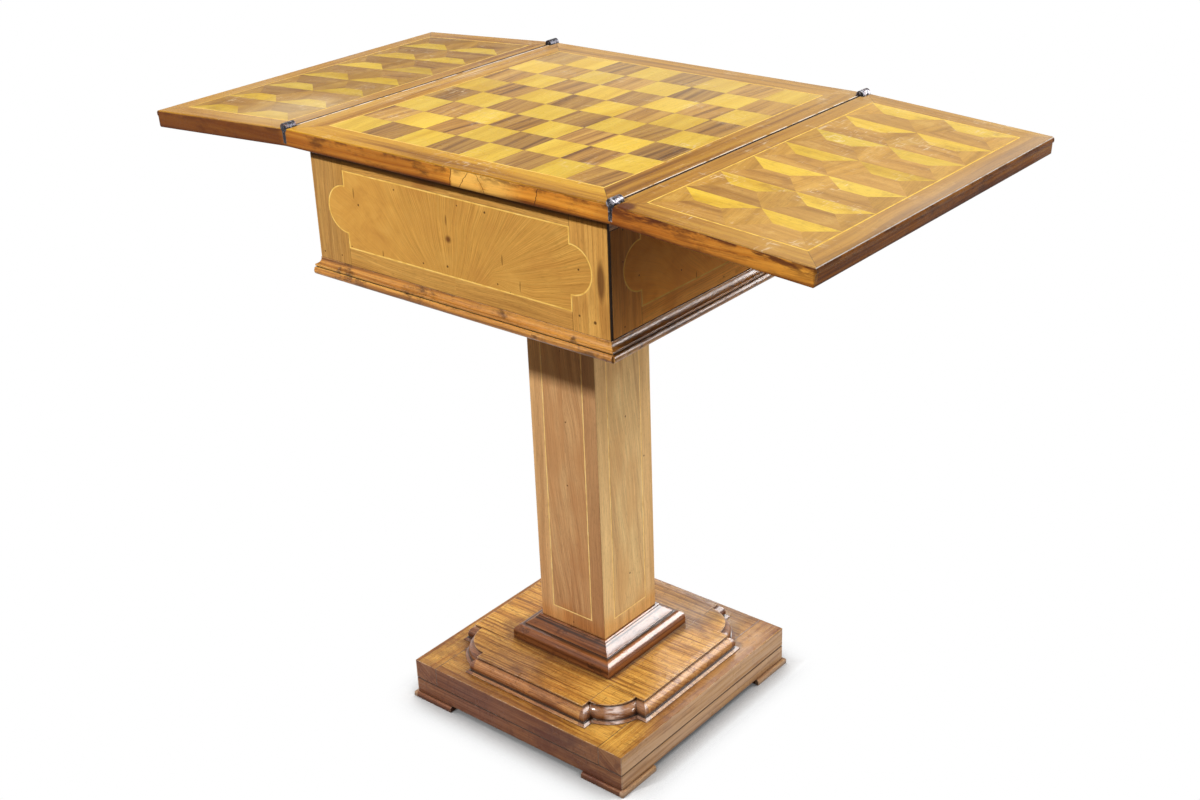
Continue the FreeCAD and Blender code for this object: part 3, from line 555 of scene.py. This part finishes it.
def panel_border(name):
    """Straight veneer round the panels, upright at the ends and level above and below."""
    finish = Finish(name)
    along, up, faces_front = panel_place(finish)
    upright = abs(along).above(cartouche_end)
    grain = upright.choose(along, up) + upright * 1.7 + along.above(0.0) * 3.3
    across = upright.choose(up, along)
    colour, height = timber(finish, grain, across, faces_front, STRIP, 190.0, 0.02, 0.6, 0.45, 0.5)
    # Painted light: the right end of each side lighter
    colour = finish.tint(along.ease(0.10, 0.19), colour, (1.12, 1.10, 1.10))
    colour = finish.tint(along.ease(-0.19, -0.15, 1.0, 0.0), colour, (0.88, 0.90, 1.08))
    seam = abs(abs(along) - cartouche_end).ease(0.0002, 0.0006, 0.5, 0.0)
    colour = finish.mix(seam, colour, DARK_WAX_AND_SHADE)
    shadowed = finish.noise((along * 14.0, up * 6.0, faces_front * 4.0), 3.0, 0.6).ease(0.56, 0.74)
    colour = finish.mix(shadowed * 0.5, colour, (0.26, 0.09, 0.020))
    stain = (((along - 0.199) * 4.2) ** 2.0 + (up - cartouche_low - 0.040) ** 2.0) ** 0.5
    colour = finish.mix(stain.ease(0.012, 0.028, 0.8, 0.0), colour, (0.10, 0.032, 0.010))
    holes = worm_holes(finish, along, up, faces_front)
    colour = finish.mix(holes * 0.85, colour, HOLE)
    colour, normal, gleam = worn(finish, colour, 0.001, (0.72, 0.45, 0.17), DARK_WAX_AND_SHADE, 0.006)
    corner = along.ease(box_half - 0.0016, box_half - 0.0008, 0.0, 0.95)
    colour = finish.mix(corner, colour, (0.014, 0.007, 0.005))
    # Painted shadow: a dark band just under the overhanging top
    shadow_under_top = up.ease(cartouche_high + 0.0075, cartouche_high + 0.0115, 0.0, 0.8)
    colour = finish.mix(shadow_under_top, colour, (0.045, 0.018, 0.008))
    colour = in_shade(finish, colour, faces_front)
    dull = polish(finish, 0.26, 0.44)
    return finish.close(colour, dull, height - holes, 0.00015, normal, gleam * 0.4, shine=0.03)


def moulding_wood(name, tones, bright, low, high, depth, coat, arris_coat, dark_lines):
    """Run mouldings with the grain along each length, old wax and painted shade in the quirks, and painted
    shade lines at the given heights.
    """
    finish = Finish(name)
    level = abs(finish.y).above(abs(finish.x))
    along = level.choose(finish.y, finish.x) + level * 1.9
    across = level.choose(finish.x, finish.y) * 0.7 + finish.z
    colour, height = timber(finish, along, across, finish.z * 0.5, tones, 190.0, 0.01, 0.65, 0.4, 0.5)
    mark = finish.patches((35.0, 35.0, 60.0), 5.0, 0.7).ease(0.52, 0.66)
    colour = finish.mix(mark * 0.75, colour, tuple(channel * 0.45 for channel in tones[0]))
    colour, normal, gleam = worn(finish, colour, 0.0012, bright, DARK_WAX_AND_SHADE, 0.009)
    clear = 1.0
    # Painted shade: dark lines at the given heights, with no coat on them
    for place, width in dark_lines:
        line = abs(finish.z - place).ease(width * 0.4, width, 0.9, 0.0)
        colour = finish.mix(line, colour, DARK_WAX_AND_SHADE)
        clear = (1 - line) * clear
    dent = finish.patches((45.0, 45.0, 45.0), 3.0, 0.5)
    gleam = (gleam * arris_coat + coat) * clear
    height = height * 0.4 + dent * 1.5
    return finish.close(colour, polish(finish, low, high, 22.0), height, depth, normal, gleam, shine=0.25)


def column_wood(name):
    """Upright veneer on the column: a feathered field inside the light line and plain strips outside it."""
    finish = Finish(name)
    faces_front = abs(finish.y).above(abs(finish.x))
    aside = faces_front.choose(finish.y, finish.x)
    turn = faces_front * 2.0 + finish.x.above(0.0) + finish.y.above(0.0) * 3.0
    sweep = finish.noise((aside * 12.0, finish.z * 4.0, turn), 2.0) - 0.5
    slant = aside + finish.z * 0.10 + sweep * 0.02
    field, height = timber(finish, finish.z + turn * 2.0, slant + turn, turn,
                           COLUMN, 170.0, 0.012, 0.42, 0.45, 0.5)
    cloud = finish.noise((aside * 18.0, finish.z * 9.0, turn * 3.0), 3.0, 0.55)
    field = finish.mix(cloud.ease(0.42, 0.68, 0.0, 0.45), field, (0.47, 0.212, 0.078))
    edge, _ = timber(finish, finish.z + turn * 3.0, aside + turn * 4.0, turn,
                     COLUMN_STRIP, 90.0, 0.02, 0.45, 0.35, 0.5)
    dark_strip = faces_front * aside.above(0.0)
    edge = finish.tint(dark_strip, edge, (0.70, 0.63, 0.62))
    outside = abs(aside).above(column_half - column_strip).most(1 - finish.z.above(column_low))
    colour = finish.mix(outside, field, edge)
    # Painted light: the side faces paler and greyer than the front and back
    paler = finish.mix(outside, (1.20, 1.40, 1.42), (1.07, 1.17, 1.17))
    colour = finish.tint(1 - faces_front, colour, paler)
    low = finish.z + sweep * 0.06
    # Painted reflection of the orange base: the front redder low down, every face more orange just above the
    # foot
    colour = finish.tint(faces_front * low.ease(0.10, 0.34, 0.5, 0.0), colour, (0.92, 0.80, 0.78))
    colour = finish.tint(low.ease(0.112, 0.140, 0.9, 0.0), colour, (0.92, 0.74, 0.52))
    holes = finish.specks((aside * 30.0 + turn * 7.0, finish.z * 30.0, 0.0), 0.045, 0.12)
    colour = finish.mix(holes * 0.8, colour, (0.10, 0.045, 0.02))
    colour, normal, gleam = worn(finish, colour, 0.0012, (0.70, 0.46, 0.20), DARK_WAX_AND_SHADE, 0.012)
    return finish.close(colour, polish(finish, 0.3, 0.48), height, 0.00015, normal, gleam * 0.4, shine=0.08)


def base_wood(name):
    """The plinth and platform: golden boards gone dark at the edges, with streaks and knocks, painted shade
    in the hollows, and a painted highlight on the front lobe.
    """
    finish = Finish(name)
    colour, height = timber(finish, finish.x * 2.5, finish.y + finish.z * 1.3, finish.z,
                            BASE, 800.0, 0.008, 0.35, 0.5, 0.8)
    on_plinth = 1 - finish.z.above(platform_low + 0.0001)
    upper = on_plinth * finish.z.above(plinth_line)
    cross, _ = timber(finish, finish.y * 2.5, finish.x + finish.z * 1.3, finish.z,
                      BASE, 760.0, 0.008, 0.35, 0.5, 0.8)
    end = abs(finish.x).above(plinth_half - 0.001)
    colour = finish.mix((abs(finish.x).above(cleat_start) * upper).most(end), colour, cross)
    blotch = finish.patches((9.0, 16.0, 24.0), 5.0, 0.68)
    colour = finish.mix(blotch.ease(0.50, 0.70) * 0.75, colour, (0.13, 0.040, 0.011))
    colour = finish.mix(blotch.ease(0.30, 0.48, 0.65, 0.0), colour, (0.66, 0.35, 0.065))
    in_front = (finish.y - finish.x * 0.4).ease(-0.15, -0.05, 0.8, 0.0)
    colour = finish.tint(in_front * finish.x.ease(0.04, 0.10, 1.0, 0.0), colour, (0.80, 0.68, 0.72))
    to_right = finish.x - finish.y * 0.5
    colour = finish.tint(to_right.ease(-0.10, 0.02, 1.0, 0.0), colour, (1.25, 1.24, 1.10))
    on_right = on_plinth * finish.x.ease(0.10, 0.15) * finish.y.ease(-0.13, -0.08) * (1 - end)
    colour = finish.tint(on_right, colour, (0.66, 0.62, 0.90))
    colour = finish.tint(to_right.ease(0.03, 0.09, 1.0, 0.0), colour, (0.88, 0.86, 1.0))
    fine = finish.patches((60.0, 520.0, 60.0), 2.0).ease(0.60, 0.68)
    ticks = finish.patches((420.0, 70.0, 60.0), 2.0).ease(0.62, 0.70)
    colour = finish.mix(fine.most(ticks) * 0.45, colour, (0.12, 0.036, 0.010))
    # Painted shade: darker where other parts crowd close, round the foot and in the hollows
    near = finish.crevice(0.03)
    colour = finish.mix(near.ease(0.45, 0.92, 0.75, 0.0), colour, (0.10, 0.030, 0.009))
    rim = abs(finish.x).most(abs(finish.y))
    darkened = on_plinth * rim.ease(plinth_half - 0.016, plinth_half, 0.0, 0.4)
    colour = finish.mix(darkened, colour, (0.17, 0.055, 0.017))
    # The plinth's front and back faces darker and greyer, the upper board most: partly the boards' own tone,
    # partly painted shade
    low = 1 - finish.z.above(platform_low - 0.0005)
    bands = finish.mix(upper, (0.70, 0.66, 1.35), (0.62, 0.57, 1.20))
    colour = finish.tint(abs(finish.y).above(plinth_half - 0.001) * low, colour, bands)
    moulded = finish.z.above(platform_low + 0.0002) * (1 - finish.z.above(platform_high - 0.0012))
    colour = finish.tint(moulded, colour, (0.98, 0.94, 1.5))
    streak = finish.noise((0.0, finish.y * 5.0, finish.z * 160.0), 4.0, 0.65)
    colour = finish.mix(end * low * streak.ease(0.38, 0.58, 0.25, 0.75), colour, (0.60, 0.40, 0.25))
    lobe = ((abs(finish.x) - lobe_start) ** 2.0 + (abs(finish.y) - lobe_start) ** 2.0) ** 0.5
    at_lobe = abs(finish.x).least(abs(finish.y)).above(lobe_start)
    rounded = moulded * at_lobe
    colour = finish.tint(rounded, colour, (0.55, 0.48, 0.60))
    # Painted highlight: a pale broken streak down the middle of the front lobe
    painted_lobe_highlight = rounded * finish.x.above(0.0) * abs(finish.x + finish.y).ease(0.003, 0.020, 0.75, 0.0)
    highlight_breakup = finish.patches((60.0, 60.0, 300.0), 3.0, 0.6).ease(0.35, 0.6)
    colour = finish.mix(painted_lobe_highlight * highlight_breakup, colour, (0.80, 0.66, 0.60))
    inside = (1 - rim.above(platform_flat)) * (1 - lobe.above(lobe_flat) * at_lobe)
    flat = finish.z.above(platform_high - 0.001) * inside
    line = abs(finish.z - plinth_line).ease(0.0006, 0.0016, 0.9, 0.0)
    colour, normal, gleam = worn(finish, colour, 0.0018, (0.80, 0.62, 0.44), DARK_WAX_AND_SHADE, 0.01,
                                 1 - line.most(flat))
    # Painted shade in the platform moulding's groove and quirk; dark joints at the plinth line and the cleat
    # seams
    groove = abs(finish.z - platform_low - 0.0037).ease(0.0004, 0.0012, 1.0, 0.0)
    quirk = abs(finish.z - platform_high + 0.0026).ease(0.0004, 0.0010, 1.0, 0.0)
    seam = abs(abs(finish.x) - cleat_start).ease(0.0003, 0.0008, 0.7, 0.0) * upper
    colour = finish.mix(groove.most(quirk).most(line).most(seam) * 0.9, colour, DARK_WAX_AND_SHADE)
    dent = finish.patches((50.0, 50.0, 50.0), 3.0, 0.55)
    dull = polish(finish, 0.20, 0.40, 18.0) + flat * 0.1
    gleam = (gleam * 0.4 + moulded * 0.17 + rounded * 0.4) * (1 - line)
    return finish.close(colour, dull, height * 0.4 + dent, 0.0002, normal, gleam, shine=0.18)


def bare_pine(name):
    """Unpolished softwood of the inner pieces."""
    finish = Finish(name)
    across = finish.y * 0.9 + finish.z
    colour, height = timber(finish, finish.x, across, finish.z * 0.4, PINE, 60.0, 0.02, 0.7)
    knots = finish.specks((finish.x * 7.0, (finish.y + finish.z) * 9.0, 0.0), 0.05, 0.3)
    colour = finish.mix(knots * 0.7, colour, (0.24, 0.11, 0.045))
    colour, normal, _ = worn(finish, colour, 0.0008, (0.72, 0.55, 0.33), (0.10, 0.055, 0.025), 0.008)
    # Painted shade: the pine close to the box's outer faces near black
    outside = abs(finish.x).most(abs(finish.y)).ease(box_half - 0.006, box_half - 0.003)
    colour = finish.mix(outside * finish.z.above(foot_high + 0.4), colour, (0.022, 0.010, 0.006))
    return finish.close(colour, polish(finish, 0.55, 0.72), height, 0.0002, normal)


def hinge_iron(name):
    """Blackened iron, rusty in the joint, with painted highlights on the right-hand hinges and on the
    arrises.
    """
    finish = Finish(name)
    pitted = finish.patches((240.0, 240.0, 240.0), 5.0, 0.65)
    rust = finish.patches((130.0, 130.0, 130.0), 4.0, 0.6).ease(0.52, 0.66)
    colour = finish.ramp(pitted, (0.3, (0.012, 0.011, 0.013)), (0.55, (0.045, 0.044, 0.052)),
                         (0.8, (0.20, 0.20, 0.24)))
    # Painted highlight: pale pitted patches on the right-hand hinges
    bright = pitted.ease(0.47, 0.62) * finish.x.above(0.0)
    colour = finish.mix(bright * 0.6, colour, (0.46, 0.44, 0.47))
    colour = finish.mix(rust * 0.6, colour, (0.14, 0.045, 0.018))
    normal, lean = finish.edges(0.0008)
    # Painted highlight: pale bluish arrises
    colour = finish.mix(lean.ease(0.05, 0.3) * 0.4, colour, (0.40, 0.40, 0.45))
    dull = pitted.ease(0.3, 0.7, 0.32, 0.58)
    return finish.close(colour, dull, pitted, 0.0008, normal, metal=1 - rust * 0.8)


def screw_steel(name):
    """Turned steel of the screws."""
    finish = Finish(name)
    turned = finish.patches((300.0, 300.0, 900.0), 3.0)
    colour = finish.ramp(turned, (0.3, (0.16, 0.14, 0.12)), (0.7, (0.42, 0.40, 0.38)))
    return finish.close(colour, turned.ease(0.3, 0.7, 0.3, 0.55), turned, 0.0002, metal=0.9)


def dress():
    """Gives every CAD node its finish."""
    solid = moulding_wood("moulding_walnut", MOULDING, (0.78, 0.50, 0.26), 0.24, 0.44, 0.0005,
                          0.012, 0.12, ())
    # Painted shade lines in the foot moulding's quirks and across the top of its slope
    quirks = ((foot_high - 0.0129, 0.0013), (foot_high - 0.0048, 0.0011), (foot_high - 0.0025, 0.0007))
    foot = moulding_wood("foot_moulding_walnut", FOOT_MOULDING, (0.66, 0.40, 0.22), 0.12, 0.26, 0.0003,
                         0.21, 0.7, quirks)
    base = base_wood("base_walnut")
    column = column_wood("column_walnut")
    pine = bare_pine("bare_pine")
    iron = hinge_iron("hinge_iron")
    steel = screw_steel("screw_steel")
    border = border_veneer("border_walnut")
    line = light_line("board_stringing", (0.55, 0.30, 0.05), (0.80, 0.50, 0.08), (0.86, 0.60, 0.14))
    fine_line = light_line("panel_stringing", (0.60, 0.33, 0.06), (0.83, 0.52, 0.12), (0.90, 0.64, 0.20))
    column_line = light_line("column_stringing", (0.66, 0.40, 0.13), (0.86, 0.58, 0.21), (0.93, 0.70, 0.31))
    edge = edge_wood("edge_walnut")
    panel = feathered_panel("feathered_walnut")
    strip = panel_border("panel_border_walnut")
    finishes = {
        "light_squares": board_square("board_boxwood", BOXWOOD, 60.0, 0.6, 0.09, (0.42, 0.21, 0.04)),
        "dark_squares": board_square("board_walnut", WALNUT, 120.0, 0.8, 0.20, (0.12, 0.05, 0.02)),
        "middle_border": border, "field_line": line, "middle_core": edge,
        "box_border_veneers": strip, "drawer_border_veneer": strip, "box_field_veneers": panel,
        "drawer_field_veneer": panel, "box_lines": fine_line, "drawer_line": fine_line,
        "column_lines": column_line,
        "box_mouldings": solid, "drawer_top_rail": solid, "column_foot_mouldings": foot,
        "platform_side_mouldings": base, "platform_corner_lobes": base, "platform_board": base,
        "plinth_upper_board": base, "plinth_lower_board": base, "plinth_cleats": base, "corner_feet": base,
        "column_front_board": column, "column_back_board": column, "column_side_boards": column,
        "middle_hinge_plates": iron, "hinge_pins": iron, "middle_hinge_screws": steel,
        "pedestal_screws": steel, "top_screws": steel,
    }
    leaf = {
        "core": edge, "border": border, "line": line, "hinge_plates": iron, "hinge_screws": steel,
        "light_pieces": leaf_wood("leaf_boxwood", BOXWOOD, 45.0, True, 1.0, 0.0, 0.84),
        "dark_pieces": leaf_wood("leaf_dark_walnut", LEAF_DARK, 80.0, True, 2.0, 0.0, 0.68),
        "brown_pieces": leaf_wood("leaf_brown_walnut", LEAF_BROWN, 70.0, False, 3.0, 0.5, 0.70),
    }
    for name, material in leaf.items():
        finishes["left_leaf_" + name] = material
        finishes["right_leaf_" + name] = material
    for name, piece in nodes.items():
        material = finishes.get(name, pine)
        for place in piece.material_slots:
            place.material = material


# The pieces that catch the gleam from behind
POLISHED = ("column_foot_mouldings", "box_mouldings", "middle_hinge_plates", "hinge_pins",
            "left_leaf_hinge_plates", "right_leaf_hinge_plates")
RUBBED = ("platform_side_mouldings", "platform_corner_lobes")


def lamp(name, kind, place, aim, power):
    """A lamp at a place, turned towards what it is aimed at."""
    holder = bpy.data.objects.new(name, bpy.data.lights.new(name, kind))
    holder.data.energy = power
    holder.location = place
    holder.rotation_euler = (Vector(aim) - Vector(place)).to_track_quat("-Z", "Y").to_euler()
    bpy.context.collection.objects.link(holder)
    return holder


def soft_light(name, place, aim, width, height, power):
    """A flat lamp with four sides."""
    holder = lamp(name, "AREA", place, aim, power)
    holder.data.shape = "RECTANGLE"
    holder.data.size = width
    holder.data.size_y = height
    return holder


def gleam_light(name, place, aim, width, height, power):
    """A flat lamp that is seen only as a gleam on polished wood."""
    holder = soft_light(name, place, aim, width, height, power)
    holder.visible_diffuse = False
    holder.visible_camera = False
    return holder


def surround():
    """White where the camera sees past the floor, and dim light from all round."""
    scene = bpy.context.scene
    scene.view_settings.view_transform = "Standard"
    world = bpy.data.worlds.new("studio")
    scene.world = world
    world.use_nodes = True
    sky = Tree(world.node_tree)
    background = world.node_tree.nodes["Background"]
    dim = 0.105
    sky.feed(background.inputs["Color"], (1.0, 1.0, 1.0))
    sky.feed(background.inputs["Strength"], sky.seen() * (1.0 - dim) + dim)


def floor_paper():
    """White paper to the camera, shaded close under the base; dull to the light that it throws back."""
    paper = Finish("floor_paper")
    away = abs(paper.x).most(abs(paper.y))
    shade = paper.grey(paper.crevice(0.05).ease(0.35, 0.95, 0.22, 1.0))
    dull = paper.node("ShaderNodeBsdfDiffuse", {}, {"Color": (0.22, 0.16, 0.10)})
    white = paper.node("ShaderNodeBsdfDiffuse", {}, {"Color": shade})
    glow = paper.node("ShaderNodeEmission", {}, {"Color": shade})
    shown = paper.node("ShaderNodeMixShader", {}, {0: away.ease(0.168, 0.198, 0.3, 1.0), 1: white, 2: glow})
    whole = paper.node("ShaderNodeMixShader", {}, {0: paper.seen(), 1: dull, 2: shown})
    paper.tree.nodes.remove(paper.shader)
    paper.feed(paper.tree.nodes["Material Output"].inputs["Surface"], whole)
    return paper.material


def lay_floor():
    """A wide sheet at the height of the feet."""
    reach = 9.0
    corners = [(-reach, -reach, 0), (reach, -reach, 0), (reach, reach, 0), (-reach, reach, 0)]
    mesh = bpy.data.meshes.new("studio_floor")
    mesh.from_pydata(corners, [], [(0, 1, 2, 3)])
    mesh.materials.append(floor_paper())
    floor = bpy.data.objects.new("studio_floor", mesh)
    bpy.context.collection.objects.link(floor)


def set_lamps():
    """Soft lights all round, gleams on the polished pieces, and a low light on the right."""
    soft_light("front_softbox", (-0.95, -2.80, 2.84), (0, 0, 0.5), 0.2, 0.2, 150.0)
    soft_light("right_softbox", (2.7, -0.2, 2.1), (0, 0, 0.5), 1.2, 1.0, 21.0)
    behind = soft_light("back_right_softbox", (1.75, 3.3, 3.6), (0, 0, 0.1), 1.8, 3.0, 178.0)
    behind.visible_glossy = False
    soft_light("left_softbox", (-1.8, 0.9, 2.6), (0, 0, 0.6), 1.4, 1.0, 12.0)
    for name, power, pieces in (("gleam_card", 560.0, POLISHED), ("low_gleam_card", 310.0, RUBBED)):
        gleam = gleam_light(name, (2.3, 3.0, 2.0), (0, 0, 0.2), 2.2, 3.4, power)
        lit = bpy.data.collections.new(name + "_pieces")
        for piece in pieces:
            lit.objects.link(nodes[piece])
        gleam.light_linking.receiver_collection = lit
    gleam_light("sheen_card", (-0.42, 0.69, 0.60), (0.11, 0, 0.076), 0.34, 0.2, 2.3)
    low = lamp("low_spot", "SPOT", (2.2, 0.5, 0.3), (0.05, 0.0, 0.2), 72.0)
    low.data.spot_size = math.radians(20.0)
    low.data.spot_blend = 0.4
    low.data.shadow_soft_size = 0.25


def studio():
    """A white floor and surround, and the lamps."""
    surround()
    lay_floor()
    set_lamps()


def camera():
    """The photograph's viewpoint, with the frame taken as 1200 by 800."""
    azimuth, elevation, roll = (math.radians(angle) for angle in (40.219, 25.602, -2.195))
    place = (1.1595, -1.3538, 1.2554)
    focal, wide = 1654.28, 1200.0
    back = Vector((math.sin(azimuth) * math.cos(elevation), -math.cos(azimuth) * math.cos(elevation),
                   math.sin(elevation)))
    level = Vector((0, 0, 1)).cross(back).normalized()
    steep = back.cross(level)
    right = level * math.cos(roll) + steep * math.sin(roll)
    up = steep * math.cos(roll) - level * math.sin(roll)
    turn = Matrix((right, up, back)).transposed().to_4x4()
    lens = bpy.data.cameras.new("camera")
    lens.sensor_width = 36.0
    lens.lens = lens.sensor_width * focal / wide
    lens.clip_end = 60.0
    holder = bpy.data.objects.new("camera", lens)
    holder.matrix_world = Matrix.Translation(place) @ turn
    bpy.context.collection.objects.link(holder)
    bpy.context.scene.camera = holder


dress()
studio()
camera()
